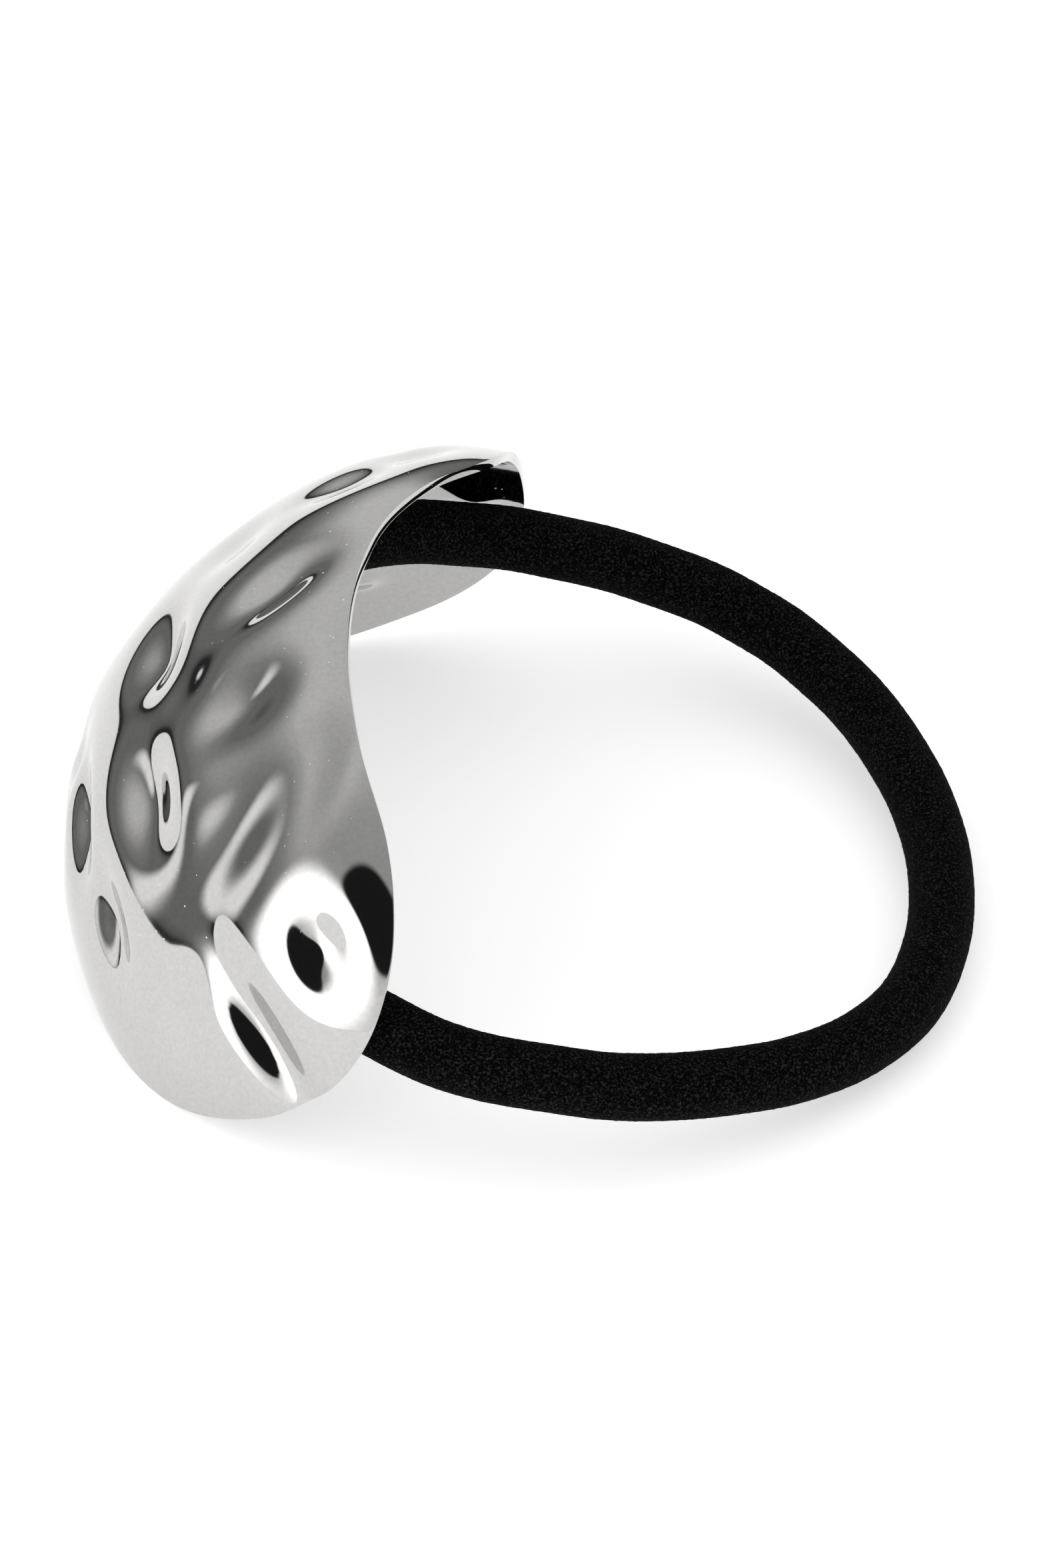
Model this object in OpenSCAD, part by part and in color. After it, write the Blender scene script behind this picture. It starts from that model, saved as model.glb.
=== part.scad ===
// Hair tie: a hammered oval cuff plate with a thick elastic loop, lying as it rests by itself.
// +Z is up, +X runs from the plate to the free end of the loop, and Y runs along the plate.

/* [Plate] */
// Length of the sheet, measured along its bend
plate_len = 87; // [82:0.5:90]
// Thickness of the sheet
sheet_t = 0.8; // [0.6:0.1:0.9]
// Bend radius at the middle of the plate
bend_r_mid = 34.5; // [33:0.5:36]
// Bend radius at the two ends of the plate
bend_r_end = 26.5; // [25:0.5:29]

/* [Crown] */
// Turn of the crown of the upper half, one crown reach out from the middle line, in degrees
upper_crown = 23; // [15:1:30]
// Extra turn of the upper half's crown at the plate's ends, in degrees
upper_crown_ends = 24; // [10:1:30]
// Turn of the crown of the lower half, one crown reach out from the middle line, in degrees
lower_crown = 27; // [20:1:32]
// Extra turn of the lower half's crown at the plate's ends, in degrees
lower_crown_ends = -8; // [-12:1:4]
// Change of both crowns from the middle to the +Y end, in degrees
crown_shift = -7; // [-10:1:0]
// Extra turn of both crowns towards the long edges, in degrees
edge_roll = 25; // [10:1:30]

/* [Elastic] */
// Thickness of the elastic
elastic_d = 5; // [4:0.1:5]
// Length of the metal sleeve that clasps the elastic
sleeve_len = 7; // [5:0.5:8]
// Wall of the sleeve
sleeve_wall = 0.6; // [0.5:0.1:0.8]
// Play between the sleeve and the elastic
sleeve_gap = 0.2; // [0.1:0.05:0.2]

/* [Hidden] */

radian = 180 / PI;
half_len = plate_len / 2;
crown_reach = 20;
crown_blend = 6;
// How far the outer and the inner face lie outside the drawn surface
outer_face = 0.25;
inner_face = outer_face - sheet_t;
samples = [for (i = [0 : 11]) (i + 0.5) / 12];

// Outline of the sheet: angle whose sine is the place along the plate, upper and lower half width
station_step = 15;
outline = [
    [-90, 0, 0],
    [-75, 6.4, 6.7],
    [-60, 11.7, 13.4],
    [-45, 15.2, 17.6],
    [-30, 16.5, 19.6],
    [-15, 17.6, 19.7],
    [0, 19, 18.9],
    [15, 20.8, 18.4],
    [30, 20.8, 17.8],
    [45, 16.4, 16.1],
    [60, 10.8, 12.6],
    [75, 5.3, 6.4],
    [90, 0, 0]
];

// Hammered dents: place along and across, half length, half width, turn in degrees, depth
dents = [
    [-37.5, -1.5, 9, 2.6, 8, 1.5],
    [-35, 7, 4.6, 3, 15, 0.9],
    [-32.5, -6.5, 5, 2.6, 50, 0.8],
    [-22.5, -10, 6, 2.6, 10, 1.3],
    [-23, 4.8, 11.5, 5.6, 61, 1.3],
    [-16.5, -2.2, 7, 3.8, 4, 1.6],
    [-13.8, 8, 7, 4.4, 77, 1.6],
    [-12.5, -11, 7, 2.3, 12, 1.4],
    [-9.5, 2.8, 6, 4.2, 36, 0.7],
    [-7.5, -16.4, 5.5, 2.5, 0, 0.8],
    [-4.5, -12.5, 4, 3, 36, 0.8],
    [-4, 11.6, 6.2, 3.2, 60, 1.1],
    [-3.5, -0.5, 6, 3.8, 8, 1.7],
    [2, -13.8, 5, 3, 5, 0.9],
    [5.8, 5.2, 5, 4.6, 40, 0.7],
    [9, -7, 4.5, 3, 10, 0.8],
    [10, 13.5, 5, 3, 43, 0.7],
    [16, 0.5, 4.6, 3.2, -10, 0.9],
    [16, 23, 7, 3.2, 10, 0.5],
    [17, -12, 4.2, 2.8, -15, 0.7],
    [17.5, 16, 6, 3, 10, 0.7],
    [22, 8, 6, 3.2, -60, 0.8],
    [26, -6, 4.6, 3, -20, 1.1],
    [30.5, 2.5, 4.4, 2.6, 0, 0.9],
    [34, -5.5, 4.2, 2.6, 20, 1],
    [35, 7.5, 3.6, 2.8, -25, 0.7]
];

// Resting pose of the plate: its lean from the upright and the place of its middle
plate_lean = 42.5;
plate_x = -26.5;
plate_y = -0.2;

// Place of the sleeve along the plate, and how far its axis lies inside the drawn surface
sleeve_at = 3.5;
sleeve_inset = 5;
// Solder pad under the sleeve, and how deep it sinks into the sheet
pad_w = 3;
pad_len = 4;
pad_sink = 0.3;

// Fineness of the sheet along and across, and how close its rows go to the tips
rows = 72;
columns = 28;
last_angle = 87;

// Centre line of the elastic, once round: through the sleeve, past the +Y end of the plate,
// round the free end that lies on the ground, and back behind the -Y end
loop_route = [
    [-22.6, 2.4, 19.9],
    [-22.2, 7.2, 19.6],
    [-21.2, 11.4, 19.1],
    [-19.6, 14.8, 18.7],
    [-17.3, 17.7, 18.3],
    [-15.1, 19.9, 17.8],
    [-12.1, 22.4, 16.7],
    [-8.9, 24.5, 15.3],
    [-5.6, 26, 14.2],
    [-1.9, 27, 13],
    [1.9, 28.4, 11.3],
    [5.7, 29.3, 9.5],
    [9.3, 29.5, 8.1],
    [12.4, 29, 6.9],
    [15.6, 27.7, 6],
    [18.9, 25.5, 5.1],
    [22.2, 22.4, 4.5],
    [25.4, 18.3, 3.8],
    [28.5, 12.9, 3.2],
    [30.9, 6.2, 2.7],
    [32, -1.7, 2.5],
    [31.2, -9.8, 2.7],
    [28.3, -16.3, 3.4],
    [24.2, -20.9, 4.2],
    [20, -24, 5.1],
    [15.8, -26.3, 5.9],
    [11.6, -27.9, 6.7],
    [7.3, -28.8, 7.6],
    [3, -29.1, 8.2],
    [-1, -28.8, 8.9],
    [-5, -27.8, 9.9],
    [-8.4, -26.6, 10.9],
    [-11.7, -24.9, 12.2],
    [-14.9, -22.3, 13.9],
    [-17.9, -18.9, 15.8],
    [-20.4, -14.8, 17.8],
    [-22, -10.4, 19],
    [-22.6, -6.3, 19.5],
    [-22.8, -2.2, 20]
];
ring_sides = 12;
steps_per_span = 2;

function average(list) = list * [for (x = list) 1] / len(list);

function unit(v) = v / norm(v);

// Smooth curve through four values, between the middle two
function smooth(p, q, r, s, f) =
    q + f * (r - p + f * (2 * p - 5 * q + 4 * r - s + f * (3 * (q - r) + s - p))) / 2;

// Half width of the outline at an angle; past a tip it carries on as its own reverse
function width_at(i, column) =
    i < 0 ? -outline[-i][column]
    : i > len(outline) - 1 ? -outline[2 * len(outline) - 2 - i][column]
    : outline[i][column];

function half_width(angle, column) =
    let(
        place = (angle - outline[0][0]) / station_step,
        i = floor(place)
    )
    smooth(
        width_at(i - 1, column), width_at(i, column),
        width_at(i + 1, column), width_at(i + 2, column), place - i
    );

// Direction of the sheet at a place along its bend, in degrees from Y
function bend_turn(along) =
    let(t = along / half_len, k_mid = 1 / bend_r_mid, k_end = 1 / bend_r_end)
    radian * along * (k_mid + (k_end - k_mid) * t * t / 3);

// Direction of the sheet at a place across its crown, in degrees from its width
function crown_turn(along, across) =
    let(
        t = along / half_len,
        u = across / crown_reach,
        upper = 0.5 + across / sqrt(across * across + crown_blend * crown_blend) / 2,
        upper_turn = upper_crown + upper_crown_ends * t * t,
        lower_turn = lower_crown + lower_crown_ends * t * t
    )
    (lower_turn + (upper_turn - lower_turn) * upper + crown_shift * t) * u + edge_roll * u * u * u;

// Depth of one dent of the table at a place on the sheet
function one_dent(d, along, across) =
    let(
        x = along - d[0],
        y = across - d[1],
        lengthways = (x * cos(d[4]) + y * sin(d[4])) / d[2],
        sideways = (y * cos(d[4]) - x * sin(d[4])) / d[3]
    )
    d[5] * exp(-2 * (lengthways * lengthways + sideways * sideways));

function dent_depth(along, across) =
    [for (d = dents) one_dent(d, along, across)] * [for (d = dents) 1];

// Point of the sheet, in the plate's own frame: outwards is how far it lies outside the drawn surface
function sheet_point(along, across, outwards) =
    let(
        bend = bend_turn(along),
        crown = crown_turn(along, across),
        x = along * average([for (g = samples) sin(bend_turn(along * g))]),
        y = along * average([for (g = samples) cos(bend_turn(along * g))]),
        reach = across * average([for (g = samples) cos(crown_turn(along, across * g))]),
        drop = across * average([for (g = samples) sin(crown_turn(along, across * g))]),
        face = [-cos(bend), sin(bend), 0],
        normal = face * cos(crown) + [0, 0, sin(crown)]
    )
    [x, y, reach] - face * drop + normal * (outwards - dent_depth(along, across));

// One closed ring round the sheet: out over the outer face and back over the inner face
function sheet_ring(angle) =
    let(
        along = half_len * sin(angle),
        upper = half_width(angle, 1),
        lower = half_width(angle, 2),
        places = [for (j = [0 : columns]) -lower + (upper + lower) * j / columns]
    )
    concat(
        [for (j = [0 : columns]) sheet_point(along, places[j], outer_face)],
        [for (j = [columns : -1 : 0]) sheet_point(along, places[j], inner_face)]
    );

sheet_rings = [for (i = [0 : rows]) sheet_ring(last_angle * (2 * i / rows - 1))];

// Height that sets the lowest point of the leaning plate on the ground
function height_in_pose(p) = p[2] * cos(plate_lean) - p[0] * sin(plate_lean);
plate_lift = -min([for (ring = sheet_rings, p = ring) height_in_pose(p)]);

// Quads between neighbouring rings of a sweep, split in two, all facing out
function wall(ring_count, per_ring, closed) =
    [
        for (i = [0 : ring_count - (closed ? 1 : 2)], j = [0 : per_ring - 1])
            let(
                a = i * per_ring,
                b = ((i + 1) % ring_count) * per_ring,
                k = (j + 1) % per_ring
            )
            each [[a + j, b + j, b + k], [a + j, b + k, a + k]]
    ];

// Cap of a ring of the sheet: a strip between its outer and its inner face
function strip_cap(start, per_ring, flip) =
    [
        for (j = [0 : per_ring / 2 - 2])
            let(
                outer = start + j,
                inner = start + per_ring - 1 - j
            )
            each flip
                ? [[outer, inner, inner - 1], [outer, inner - 1, outer + 1]]
                : [[outer, inner - 1, inner], [outer, outer + 1, inner - 1]]
    ];

module sheet() {
    per_ring = len(sheet_rings[0]);
    polyhedron(
        points = [for (ring = sheet_rings, p = ring) p],
        faces = concat(
            wall(rows + 1, per_ring, false),
            strip_cap(0, per_ring, false),
            strip_cap(rows * per_ring, per_ring, true)
        )
    );
}

// Short sleeve round the elastic's join, with the solder pad that holds it to the inner face
module sleeve() {
    bore_r = elastic_d / 2 + sleeve_gap;
    outer_r = bore_r + sleeve_wall;
    pad_depth = sleeve_inset + inner_face - bore_r;
    translate(sheet_point(sleeve_at, 0, -sleeve_inset))
        rotate([90, 0, -bend_turn(sleeve_at)])
            difference() {
                union() {
                    cylinder(h = sleeve_len, r = outer_r, center = true, $fn = 48);
                    translate([-bore_r - pad_depth - pad_sink, -pad_w / 2, -pad_len / 2])
                        cube([pad_depth + pad_sink, pad_w, pad_len]);
                }
                cylinder(h = sleeve_len + 1, r = bore_r, center = true, $fn = 48);
            }
}

module cuff() {
    color("silver")
        translate([plate_x, plate_y, plate_lift])
            rotate([0, plate_lean, 0]) {
                sheet();
                sleeve();
            }
}

// Points along the elastic's centre line, smoothly between the route's own
function route_at(i) = loop_route[(i + len(loop_route)) % len(loop_route)];

elastic_line = [
    for (i = [0 : len(loop_route) - 1], k = [0 : steps_per_span - 1])
        smooth(route_at(i - 1), route_at(i), route_at(i + 1), route_at(i + 2), k / steps_per_span)
];

function elastic_ring(i) =
    let(
        count = len(elastic_line),
        along = unit(elastic_line[(i + 1) % count] - elastic_line[(i + count - 1) % count]),
        side = unit(cross(along, [0, 0, 1])),
        up = cross(side, along)
    )
    [
        for (j = [0 : ring_sides - 1])
            let(turn = 360 * j / ring_sides)
            elastic_line[i] + (up * cos(turn) + side * sin(turn)) * elastic_d / 2
    ];

module elastic() {
    color("#1a1a1c")
        polyhedron(
            points = [for (i = [0 : len(elastic_line) - 1]) each elastic_ring(i)],
            faces = wall(len(elastic_line), ring_sides, true)
        );
}

cuff();
elastic();
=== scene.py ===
import math

import bpy
from mathutils import Matrix, Vector


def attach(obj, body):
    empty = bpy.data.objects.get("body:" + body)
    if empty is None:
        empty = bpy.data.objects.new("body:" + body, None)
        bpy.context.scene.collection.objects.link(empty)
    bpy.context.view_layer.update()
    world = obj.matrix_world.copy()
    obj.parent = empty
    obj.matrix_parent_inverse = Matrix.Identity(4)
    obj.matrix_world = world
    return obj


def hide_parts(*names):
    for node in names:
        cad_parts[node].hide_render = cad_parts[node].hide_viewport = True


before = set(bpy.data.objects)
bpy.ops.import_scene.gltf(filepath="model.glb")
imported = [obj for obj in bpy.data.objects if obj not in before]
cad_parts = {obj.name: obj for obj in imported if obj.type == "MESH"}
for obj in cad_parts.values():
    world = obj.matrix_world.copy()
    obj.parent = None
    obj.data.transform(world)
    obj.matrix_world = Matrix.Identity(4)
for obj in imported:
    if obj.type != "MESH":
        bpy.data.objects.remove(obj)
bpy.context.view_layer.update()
bpy.ops.object.select_all(action="DESELECT")


# The camera looks down at the lying hair tie from the side of the plate's -Y end, through a long lens,
# as the photo does.
mm = 0.001
camera_place = Vector((103.4, -532.5, 443.5)) * mm
camera_aim = Vector((-0.1488, 0.7678, -0.6232))
camera_roll = math.radians(-0.84)
camera_lens = 213.1
bpy.ops.object.camera_add(location=camera_place)
camera = bpy.context.object
camera.rotation_mode = "QUATERNION"
camera.rotation_quaternion = camera_aim.to_track_quat("-Z", "Y")
camera.rotation_quaternion @= Matrix.Rotation(camera_roll, 4, "Z").to_quaternion()
camera.data.sensor_width = 36
camera.data.lens = camera_lens
camera.data.clip_start = 10 * mm
bpy.context.scene.camera = camera


# The elastic is a round rubber cord in a cover of black velour, 5 mm thick with its pile. It is
# one closed loop: its two ends meet in the metal sleeve behind the plate, and its free side lies on
# the ground.
elastic_d = 5 * mm
# Points along the middle of the loop, in millimetres
elastic_route = [
    (-22.6, 2.4, 19.9), (-22.2, 7.2, 19.6), (-21.2, 11.4, 19.1), (-19.6, 14.8, 18.7), (-17.3, 17.7, 18.3),
    (-15.1, 19.9, 17.8), (-12.1, 22.4, 16.7), (-8.9, 24.5, 15.3), (-5.6, 26, 14.2), (-1.9, 27, 13),
    (1.9, 28.4, 11.3), (5.7, 29.3, 9.5), (9.3, 29.5, 8.1), (12.4, 29, 6.9), (15.6, 27.7, 6),
    (18.9, 25.5, 5.1), (22.2, 22.4, 4.5), (25.4, 18.3, 3.8), (28.5, 12.9, 3.2), (30.9, 6.2, 2.7),
    (32, -1.7, 2.5), (31.2, -9.8, 2.7), (28.3, -16.3, 3.4), (24.2, -20.9, 4.2), (20, -24, 5.1),
    (15.8, -26.3, 5.9), (11.6, -27.9, 6.7), (7.3, -28.8, 7.6), (3, -29.1, 8.2), (-1, -28.8, 8.9),
    (-5, -27.8, 9.9), (-8.4, -26.6, 10.9), (-11.7, -24.9, 12.2), (-14.9, -22.3, 13.9), (-17.9, -18.9, 15.8),
    (-20.4, -14.8, 17.8), (-22, -10.4, 19), (-22.6, -6.3, 19.5), (-22.8, -2.2, 20),
]
elastic_steps = 24
pile_depth = 0.05 * mm


def between(p, q, r, s, f):
    """Point at share f of the way from q to r, on the smooth curve through p, q, r and s."""
    return q + f * (r - p + f * (2 * p - 5 * q + 4 * r - s + f * (3 * (q - r) + s - p))) / 2


route = [Vector(p) * mm for p in elastic_route]
elastic_line = []
for i in range(len(route)):
    around = [route[(i + k) % len(route)] for k in (-1, 0, 1, 2)]
    elastic_line += [between(*around, k / elastic_steps) for k in range(elastic_steps)]
elastic_line.append(route[0])

bpy.ops.curve.primitive_bezier_curve_add()
elastic = bpy.context.object
elastic.name = "velour_loop"
elastic.data.splines.clear()
spline = elastic.data.splines.new("POLY")
spline.points.add(len(elastic_line) - 1)
for point, place in zip(spline.points, elastic_line):
    point.co = (*place, 1)
elastic.data.dimensions = "3D"
elastic.data.twist_mode = "MINIMUM"
elastic.data.bevel_depth = (elastic_d - pile_depth) / 2
elastic.data.bevel_resolution = 38
elastic.data.use_fill_caps = True
bpy.ops.object.convert(target="MESH")
elastic = bpy.context.object
pile = bpy.data.textures.new("pile", "CLOUDS")
pile.noise_scale = 0.3 * mm
pile.noise_depth = 3
displace = elastic.modifiers.new("pile", "DISPLACE")
displace.texture = pile
displace.texture_coords = "LOCAL"
displace.strength = 2 * pile_depth
displace.mid_level = 0.5
bpy.ops.object.modifier_apply(modifier="pile")
bpy.ops.object.shade_smooth()

velour = bpy.data.materials.new("black_velour")
velour.use_nodes = True
nodes, links = velour.node_tree.nodes, velour.node_tree.links
shader = nodes["Principled BSDF"]
shader.inputs["Roughness"].default_value = 1
shader.inputs["Specular IOR Level"].default_value = 0.03
shader.inputs["Sheen Weight"].default_value = 0.01
shader.inputs["Sheen Roughness"].default_value = 0.5
shader.inputs["Sheen Tint"].default_value = (0.8, 0.8, 0.85, 1)
# Tufts of pile, with painted shade where they part and a painted highlight, a little paler, on top
place = nodes.new("ShaderNodeTexCoord")
tufts = nodes.new("ShaderNodeTexNoise")
tufts.inputs["Scale"].default_value = 5500
tufts.inputs["Detail"].default_value = 3
tufts.inputs["Roughness"].default_value = 0.6
links.new(place.outputs["Object"], tufts.inputs["Vector"])
# Painted shade and highlight of the pile: near black between the tufts, a little paler on their tops
pile_shade_and_highlight = nodes.new("ShaderNodeValToRGB")
pile_shade_and_highlight.color_ramp.elements[0].position = 0.5
pile_shade_and_highlight.color_ramp.elements[0].color = (0.001, 0.001, 0.001, 1)
pile_shade_and_highlight.color_ramp.elements[1].position = 0.72
pile_shade_and_highlight.color_ramp.elements[1].color = (0.03, 0.03, 0.031, 1)
links.new(tufts.outputs["Fac"], pile_shade_and_highlight.inputs["Fac"])
links.new(pile_shade_and_highlight.outputs["Color"], shader.inputs["Base Color"])
fuzz = nodes.new("ShaderNodeBump")
fuzz.inputs["Distance"].default_value = 0.08 * mm
fuzz.inputs["Strength"].default_value = 0.8
links.new(tufts.outputs["Fac"], fuzz.inputs["Height"])
links.new(fuzz.outputs["Normal"], shader.inputs["Normal"])
elastic.data.materials.clear()
elastic.data.materials.append(velour)
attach(elastic, "root")
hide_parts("elastic")


# The plate is one oval sheet of silver-plated brass, 0.8 mm thick. It is bent along its length to
# follow a ponytail, crowned across it, hammered all over with long soft dents from outside, and
# polished to a mirror. Its rim is rounded.
# Millimetres: length along the bend, thickness, how far the outer face lies outside the drawn surface
plate_len, sheet_t, outer_face = 87, 0.8, 0.25
# Millimetres: bend radius at the middle and at the two tips
bend_r_mid, bend_r_end = 34.5, 26.5
# Degrees: turn of the crown at its reach from the middle line, and what is added to it at the tips
upper_crown, upper_crown_ends = 23, 24
lower_crown, lower_crown_ends = 27, -8
# Degrees: change of the crown towards the +Y tip, and extra turn towards the long edges
crown_shift, edge_roll = -7, 25
# Millimetres: reach at which the crown is measured, and width in which its two halves blend
crown_reach, crown_blend = 20, 6
# Lean of the plate, and place of its middle in millimetres, with its lower edge on the ground
plate_lean, plate_place = math.radians(42.5), Vector((-26.5, -0.2, 23.4144))
half_len = plate_len / 2
# Shares of the way along a curve at which its direction is added up
sample_count = 12
samples = [(i + 0.5) / sample_count for i in range(sample_count)]
# Share of the way to the tips at which the sheet's ends stop, as the outline has no width at a tip
nearly_tip = 0.99999
# Outline: angle whose sine is the place along the plate, upper and lower half width
outline = [
    (-90, 0, 0), (-75, 6.4, 6.7), (-60, 11.7, 13.4), (-45, 15.2, 17.6), (-30, 16.5, 19.6),
    (-15, 17.6, 19.7), (0, 19, 18.9), (15, 20.8, 18.4), (30, 20.8, 17.8), (45, 16.4, 16.1),
    (60, 10.8, 12.6), (75, 5.3, 6.4), (90, 0, 0),
]
# Dents: place along and across, half length, half width, turn in degrees, depth
dents = [
    (-37.5, -1.5, 9, 2.6, 8, 1.5),
    (-35, 7, 4.6, 3, 15, 0.9),
    (-32.5, -6.5, 5, 2.6, 50, 0.8),
    (-22.5, -10, 6, 2.6, 10, 1.3),
    (-23, 4.8, 11.5, 5.6, 61, 1.3),
    (-16.5, -2.2, 7, 3.8, 4, 1.6),
    (-13.8, 8, 7, 4.4, 77, 1.6),
    (-12.5, -11, 7, 2.3, 12, 1.4),
    (-9.5, 2.8, 6, 4.2, 36, 0.7),
    (-7.5, -16.4, 5.5, 2.5, 0, 0.8),
    (-4.5, -12.5, 4, 3, 36, 0.8),
    (-4, 11.6, 6.2, 3.2, 60, 1.1),
    (-3.5, -0.5, 6, 3.8, 8, 1.7),
    (2, -13.8, 5, 3, 5, 0.9),
    (5.8, 5.2, 5, 4.6, 40, 0.7),
    (9, -7, 4.5, 3, 10, 0.8),
    (10, 13.5, 5, 3, 43, 0.7),
    (16, 0.5, 4.6, 3.2, -10, 0.9),
    (16, 23, 7, 3.2, 10, 0.5),
    (17, -12, 4.2, 2.8, -15, 0.7),
    (17.5, 16, 6, 3, 10, 0.7),
    (22, 8, 6, 3.2, -60, 0.8),
    (26, -6, 4.6, 3, -20, 1.1),
    (30.5, 2.5, 4.4, 2.6, 0, 0.9),
    (34, -5.5, 4.2, 2.6, 20, 1),
    (35, 7.5, 3.6, 2.8, -25, 0.7),
]


def outline_at(i, column):
    """A half width of the outline's table; past a tip it carries on as its own reverse."""
    last = len(outline) - 1
    if i < 0:
        return -outline[-i][column]
    if i > last:
        return -outline[2 * last - i][column]
    return outline[i][column]


def half_width(angle, column):
    """Half width of the sheet at any angle of the outline's table, on a smooth curve through its rows."""
    step = outline[1][0] - outline[0][0]
    i = math.floor((angle - outline[0][0]) / step)
    share = (angle - outline[0][0]) / step - i
    return between(*[outline_at(i + k, column) for k in (-1, 0, 1, 2)], share)


def bend_turn(along):
    """Direction of the sheet at a place along its bend, in radians from Y."""
    t = along / half_len
    return along * (1 / bend_r_mid + (1 / bend_r_end - 1 / bend_r_mid) * t * t / 3)


def crown_turn(along, across):
    """Direction of the sheet at a place across its crown, in radians from its width."""
    t, u = along / half_len, across / crown_reach
    upper = 0.5 + across / math.hypot(across, crown_blend) / 2
    upper_turn = upper_crown + upper_crown_ends * t * t
    lower_turn = lower_crown + lower_crown_ends * t * t
    turn = lower_turn + (upper_turn - lower_turn) * upper + crown_shift * t
    return math.radians(turn * u + edge_roll * u ** 3)


def dent_depth(along, across):
    """Depth of all dents together at a place on the sheet, in millimetres."""
    depth = 0
    for dent_along, dent_across, length, width, turn, deep in dents:
        x, y = along - dent_along, across - dent_across
        c, s = math.cos(math.radians(turn)), math.sin(math.radians(turn))
        depth += deep * math.exp(-2 * (((x * c + y * s) / length) ** 2 + ((y * c - x * s) / width) ** 2))
    return depth


def sheet_point(along, across, outwards):
    """Point of the plate in millimetres, in its own frame: Y along it, Z across it, -X out of it."""
    bend, crown = bend_turn(along), crown_turn(along, across)
    turns = [bend_turn(along * g) for g in samples]
    crowns = [crown_turn(along, across * g) for g in samples]
    x = along * sum(math.sin(t) for t in turns) / len(samples)
    y = along * sum(math.cos(t) for t in turns) / len(samples)
    reach = across * sum(math.cos(t) for t in crowns) / len(samples)
    drop = across * sum(math.sin(t) for t in crowns) / len(samples)
    face = Vector((-math.cos(bend), math.sin(bend), 0))
    normal = face * math.cos(crown) + Vector((0, 0, math.sin(crown)))
    return Vector((x, y, reach)) - face * drop + normal * (outwards - dent_depth(along, across))


plate_pose = (
    Matrix.Translation(plate_place * mm)
    @ Matrix.Rotation(plate_lean, 4, "Y")
    @ Matrix.Scale(mm, 4)
)

bpy.ops.mesh.primitive_grid_add(x_subdivisions=300, y_subdivisions=130, size=2)
plate = bpy.context.object
plate.name = "plate"
for vertex in plate.data.vertices:
    x, y = vertex.co.x, vertex.co.y
    u, v = x * math.sqrt(1 - y * y / 2), y * math.sqrt(1 - x * x / 2)
    u = max(-nearly_tip, min(nearly_tip, u))
    angle = math.degrees(math.asin(u))
    across = v * half_width(angle, 1 if v > 0 else 2) / math.cos(math.radians(angle))
    vertex.co = plate_pose @ sheet_point(half_len * u, across, outer_face)
bpy.ops.object.mode_set(mode="EDIT")
bpy.ops.mesh.select_all(action="SELECT")
bpy.ops.mesh.flip_normals()
bpy.ops.object.mode_set(mode="OBJECT")
wall = plate.modifiers.new("wall", "SOLIDIFY")
wall.thickness = sheet_t * mm
wall.offset = -1
rim = plate.modifiers.new("rim", "BEVEL")
rim.width = 0.12 * mm
rim.segments = 3
rim.limit_method = "ANGLE"
rim.angle_limit = math.radians(60)
bpy.ops.object.modifier_apply(modifier="wall")
bpy.ops.object.modifier_apply(modifier="rim")
bpy.ops.object.shade_smooth()

silver = bpy.data.materials.new("polished_silver")
silver.use_nodes = True
nodes, links = silver.node_tree.nodes, silver.node_tree.links
shader = nodes["Principled BSDF"]
# Specks of dust, a fine mottle in the plating, and a polish that is a little uneven
place = nodes.new("ShaderNodeTexCoord")
dust = nodes.new("ShaderNodeTexVoronoi")
dust.inputs["Scale"].default_value = 1100
links.new(place.outputs["Object"], dust.inputs["Vector"])
dusty = nodes.new("ShaderNodeTexNoise")
dusty.inputs["Scale"].default_value = 55
dusty.inputs["Detail"].default_value = 1
links.new(place.outputs["Object"], dusty.inputs["Vector"])
grain_size = nodes.new("ShaderNodeMapRange")
grain_size.inputs["From Min"].default_value = 0.36
grain_size.inputs["From Max"].default_value = 0.7
grain_size.inputs["To Max"].default_value = 0.1
links.new(dusty.outputs["Fac"], grain_size.inputs["Value"])
grain = nodes.new("ShaderNodeMath")
grain.operation = "LESS_THAN"
links.new(dust.outputs["Distance"], grain.inputs[0])
links.new(grain_size.outputs["Result"], grain.inputs[1])
mottle = nodes.new("ShaderNodeTexNoise")
mottle.inputs["Scale"].default_value = 3200
mottle.inputs["Detail"].default_value = 2
links.new(place.outputs["Object"], mottle.inputs["Vector"])
metal = nodes.new("ShaderNodeMix")
metal.data_type = "RGBA"
metal.inputs["A"].default_value = (0.485, 0.481, 0.473, 1)
metal.inputs["B"].default_value = (0.615, 0.61, 0.602, 1)
links.new(mottle.outputs["Fac"], metal.inputs["Factor"])
tone = nodes.new("ShaderNodeMix")
tone.data_type = "RGBA"
links.new(metal.outputs["Result"], tone.inputs["A"])
tone.inputs["B"].default_value = (0.8, 0.8, 0.79, 1)
links.new(grain.outputs["Value"], tone.inputs["Factor"])
links.new(tone.outputs["Result"], shader.inputs["Base Color"])
bare = nodes.new("ShaderNodeMath")
bare.operation = "SUBTRACT"
bare.inputs[0].default_value = 1
links.new(grain.outputs["Value"], bare.inputs[1])
links.new(bare.outputs["Value"], shader.inputs["Metallic"])
haze = nodes.new("ShaderNodeTexNoise")
haze.inputs["Scale"].default_value = 120
haze.inputs["Detail"].default_value = 3
links.new(place.outputs["Object"], haze.inputs["Vector"])
polish = nodes.new("ShaderNodeMapRange")
polish.inputs["From Min"].default_value = 0.35
polish.inputs["From Max"].default_value = 0.75
polish.inputs["To Min"].default_value = 0.03
polish.inputs["To Max"].default_value = 0.08
links.new(haze.outputs["Fac"], polish.inputs["Value"])
links.new(polish.outputs["Result"], shader.inputs["Roughness"])
plate.data.materials.append(silver)
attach(plate, "root")
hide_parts("cuff")


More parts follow.
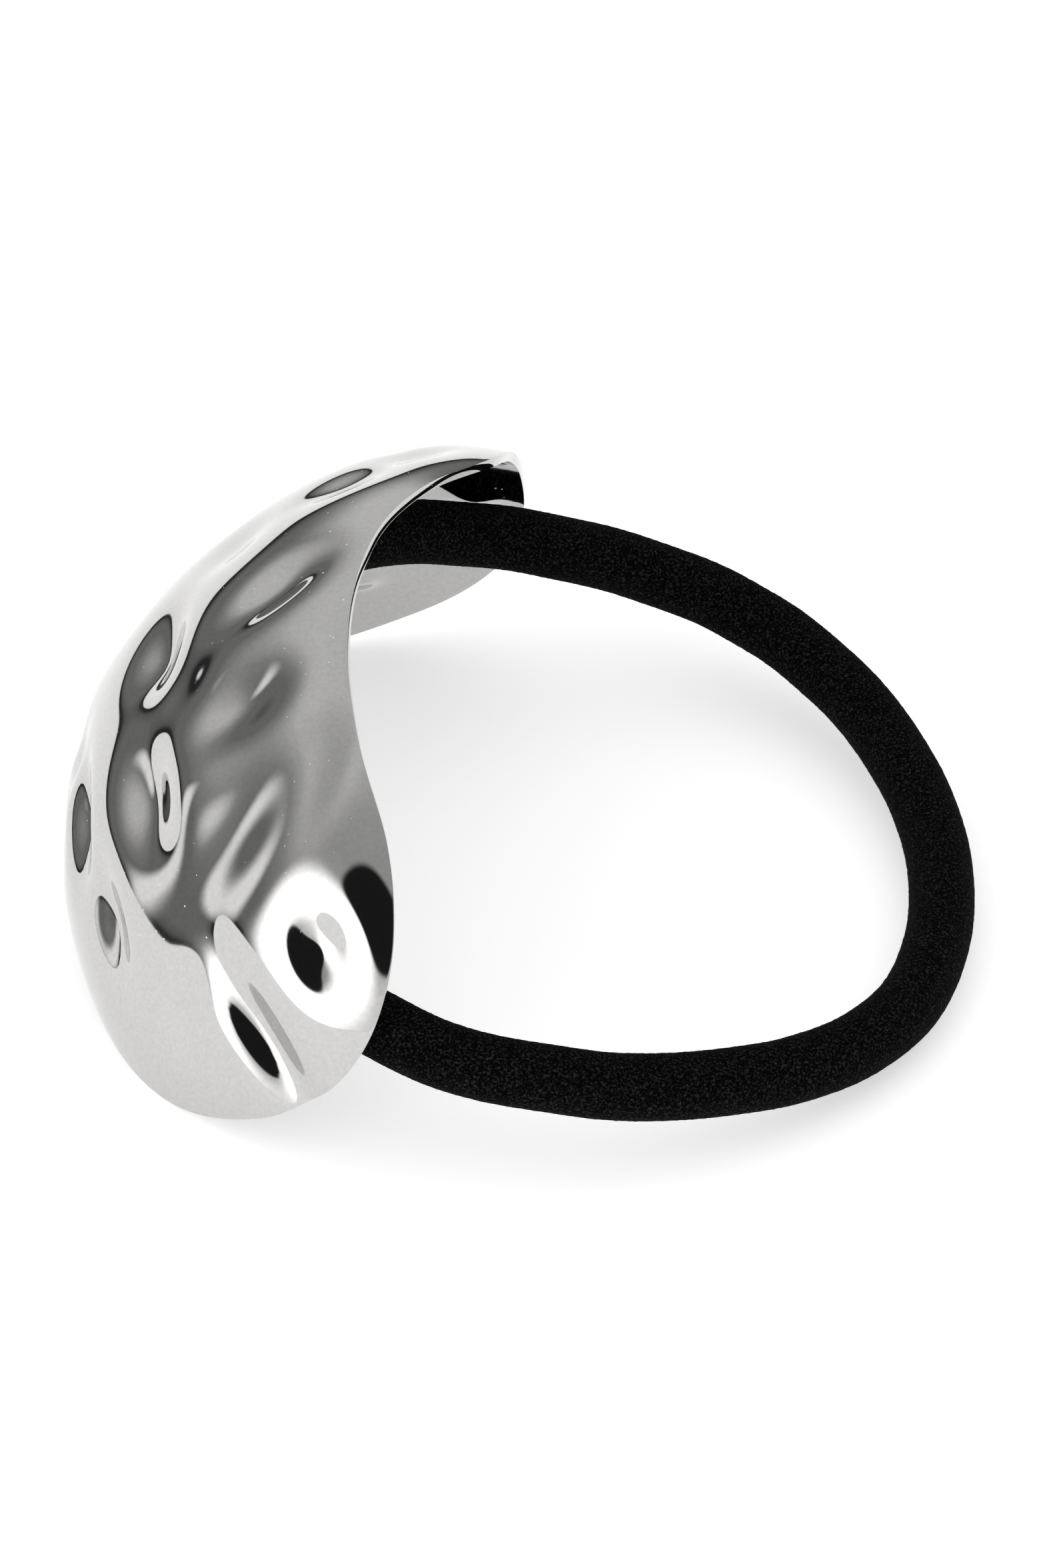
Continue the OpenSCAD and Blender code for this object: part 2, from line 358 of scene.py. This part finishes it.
# Behind the plate a short sleeve of the same metal clasps the join of the elastic. It is a rolled
# tube, held off the inner face by its solder pad.
# Millimetres: place along the plate, distance in from the drawn surface, and length
sleeve_at, sleeve_inset, sleeve_len = 3.5, 5, 7
# Millimetres: wall, play round the elastic, and radius of the bore
sleeve_wall, sleeve_play = 0.6, 0.2
bore_r = elastic_d / 2 / mm + sleeve_play
bpy.ops.mesh.primitive_cylinder_add(
    vertices=64, radius=bore_r + sleeve_wall, depth=sleeve_len, end_fill_type="NOTHING"
)
sleeve = bpy.context.object
sleeve.name = "sleeve"
roll = sleeve.modifiers.new("roll", "SOLIDIFY")
roll.thickness = sleeve_wall
roll.offset = -1
lips = sleeve.modifiers.new("lips", "BEVEL")
lips.width = 0.22
lips.segments = 3
lips.limit_method = "ANGLE"
bpy.ops.object.modifier_apply(modifier="roll")
bpy.ops.object.modifier_apply(modifier="lips")
sleeve_pose = (
    plate_pose
    @ Matrix.Translation(sheet_point(sleeve_at, 0, -sleeve_inset))
    @ Matrix.Rotation(-bend_turn(sleeve_at), 4, "Z")
    @ Matrix.Rotation(math.radians(90), 4, "X")
)
sleeve.data.transform(sleeve_pose)
bpy.ops.object.shade_smooth_by_angle(angle=math.radians(40))
sleeve.data.materials.append(silver)
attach(sleeve, "root")


# The solder pad is a small block of metal between the sleeve and the plate, run into both, with edges
# that the heat has rounded.
# Millimetres: width, length, how far it stays out of the bore, and how far it sinks into the plate
pad_w, pad_len, pad_clear, pad_sink = 3, 4, 0.1, 0.3
pad_start = bore_r + pad_clear
pad_end = sleeve_inset + outer_face - sheet_t + pad_sink
bpy.ops.mesh.primitive_cube_add(size=1)
pad = bpy.context.object
pad.name = "solder_pad"
pad_place = Matrix.Translation((-(pad_start + pad_end) / 2, 0, 0))
pad.data.transform(pad_place @ Matrix.Diagonal((pad_end - pad_start, pad_w, pad_len, 1)))
melt = pad.modifiers.new("melt", "BEVEL")
melt.width = 0.4
melt.segments = 4
bpy.ops.object.modifier_apply(modifier="melt")
pad.data.transform(sleeve_pose)
bpy.ops.object.shade_smooth_by_angle(angle=math.radians(40))
pad.data.materials.append(silver)
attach(pad, "root")


# Floor and light: a sheet of pale paper that glows softly, as on a light table, three soft lamps, and the
# small grey studio round them. Its walls, its boards and the dark gear beside the camera show in the metal.
bpy.ops.mesh.primitive_circle_add(vertices=96, radius=6, fill_type="NGON")
floor = bpy.context.object
floor.name = "floor"
paper = bpy.data.materials.new("pale_paper")
paper.use_nodes = True
shader = paper.node_tree.nodes["Principled BSDF"]
shader.inputs["Base Color"].default_value = (0.86, 0.86, 0.86, 1)
shader.inputs["Roughness"].default_value = 0.9
shader.inputs["Emission Color"].default_value = (1, 1, 1, 1)
shader.inputs["Emission Strength"].default_value = 0.5
floor.data.materials.append(paper)

# Soft lamps: place and width in metres, and power in watts
lamps = [((0, 0, 1.2), 3, 5), ((1.1, -0.4, 0.6), 1, 1.2), ((-0.9, -0.7, 0.6), 1, 1.2)]
for lamp_place, lamp_width, lamp_power in lamps:
    bpy.ops.object.light_add(type="AREA", location=lamp_place)
    lamp = bpy.context.object
    lamp.data.size = lamp_width
    lamp.data.energy = lamp_power
    lamp.rotation_mode = "QUATERNION"
    lamp.rotation_quaternion = (-lamp.location).to_track_quat("-Z", "Y")
    lamp.visible_glossy = False

studio = bpy.data.worlds.new("studio")
bpy.context.scene.world = studio
studio.use_nodes = True
nodes, links = studio.node_tree.nodes, studio.node_tree.links
looking = nodes.new("ShaderNodeTexCoord")
axes = nodes.new("ShaderNodeSeparateXYZ")
links.new(looking.outputs["Generated"], axes.inputs["Vector"])


def studio_math(operation, *terms):
    """Node that works on numbers or on other nodes' outputs; returns its output."""
    node = nodes.new("ShaderNodeMath")
    node.operation = operation
    for socket, term in zip(node.inputs, terms):
        if isinstance(term, (int, float)):
            socket.default_value = term
        else:
            links.new(term, socket)
    return node.outputs["Value"]


# Degrees round the studio, 0 at +Y and rising towards +X, and degrees above the floor
azimuth = studio_math("DEGREES", studio_math("ARCTAN2", axes.outputs["X"], axes.outputs["Y"]))
elevation = studio_math("DEGREES", studio_math("ARCSINE", axes.outputs["Z"]))


def walls(heights):
    """Grey that changes with the height above the floor; each row is degrees and brightness."""
    ramp = nodes.new("ShaderNodeValToRGB")
    ramp.color_ramp.elements.remove(ramp.color_ramp.elements[1])
    for i, (degrees, brightness) in enumerate(heights):
        stop = ramp.color_ramp.elements[0] if i == 0 else ramp.color_ramp.elements.new(degrees / 90)
        stop.position = degrees / 90
        stop.color = (brightness, brightness, brightness, 1)
    links.new(studio_math("DIVIDE", elevation, 90), ramp.inputs["Fac"])
    return ramp.outputs["Color"]


def patch(behind, in_front, at, reach, edge):
    """Oval patch of one brightness over another, centred at (azimuth, elevation), with a soft edge."""
    turn = studio_math("WRAP", studio_math("SUBTRACT", azimuth, at[0]), 180, -180)
    across = studio_math("DIVIDE", turn, reach[0])
    up = studio_math("DIVIDE", studio_math("SUBTRACT", elevation, at[1]), reach[1])
    squares = studio_math("ADD", studio_math("POWER", across, 2), studio_math("POWER", up, 2))
    far = studio_math("SQRT", squares)
    shape = nodes.new("ShaderNodeMapRange")
    shape.interpolation_type = "SMOOTHSTEP"
    shape.inputs["From Min"].default_value = 1
    shape.inputs["From Max"].default_value = 1 - edge
    links.new(far, shape.inputs["Value"])
    mix = nodes.new("ShaderNodeMix")
    mix.data_type = "RGBA"
    links.new(shape.outputs["Result"], mix.inputs["Factor"])
    links.new(behind, mix.inputs["A"])
    if isinstance(in_front, float):
        mix.inputs["B"].default_value = (in_front, in_front, in_front, 1)
    else:
        links.new(in_front, mix.inputs["B"])
    return mix.outputs["Result"]


far_walls = walls([
    (0, 0.023), (2, 0.035), (4, 0.14), (8, 0.21), (16, 0.21),
    (26, 0.33), (34, 0.54), (40, 0.7), (50, 0.76), (75, 0.7),
])
near_walls = walls([(0, 1.08), (12, 0.97), (24, 0.58), (45, 0.44), (60, 0.47), (90, 0.58)])
# The walls on the camera's side, two grey boards, a bright card, a brighter diffuser, and the dark gear
view = patch(far_walls, near_walls, (175, 0), (75, 85), 0.3)
view = patch(view, 0.77, (-15, 28), (30, 26), 0.7)
view = patch(view, 0.53, (-120, 55), (30, 30), 0.8)
view = patch(view, 1.17, (-96, 10), (11, 17), 0.7)
view = patch(view, 2.4, (-146, 14), (30, 26), 0.6)
view = patch(view, 0.015, (-178, 33), (22, 16), 0.15)

seen = nodes.new("ShaderNodeLightPath")
backdrop = nodes.new("ShaderNodeMix")
backdrop.data_type = "RGBA"
backdrop.inputs["B"].default_value = (0.9, 0.9, 0.9, 1)
links.new(seen.outputs["Is Camera Ray"], backdrop.inputs["Factor"])
links.new(view, backdrop.inputs["A"])
links.new(backdrop.outputs["Result"], nodes["Background"].inputs["Color"])
bpy.context.scene.view_settings.view_transform = "Standard"
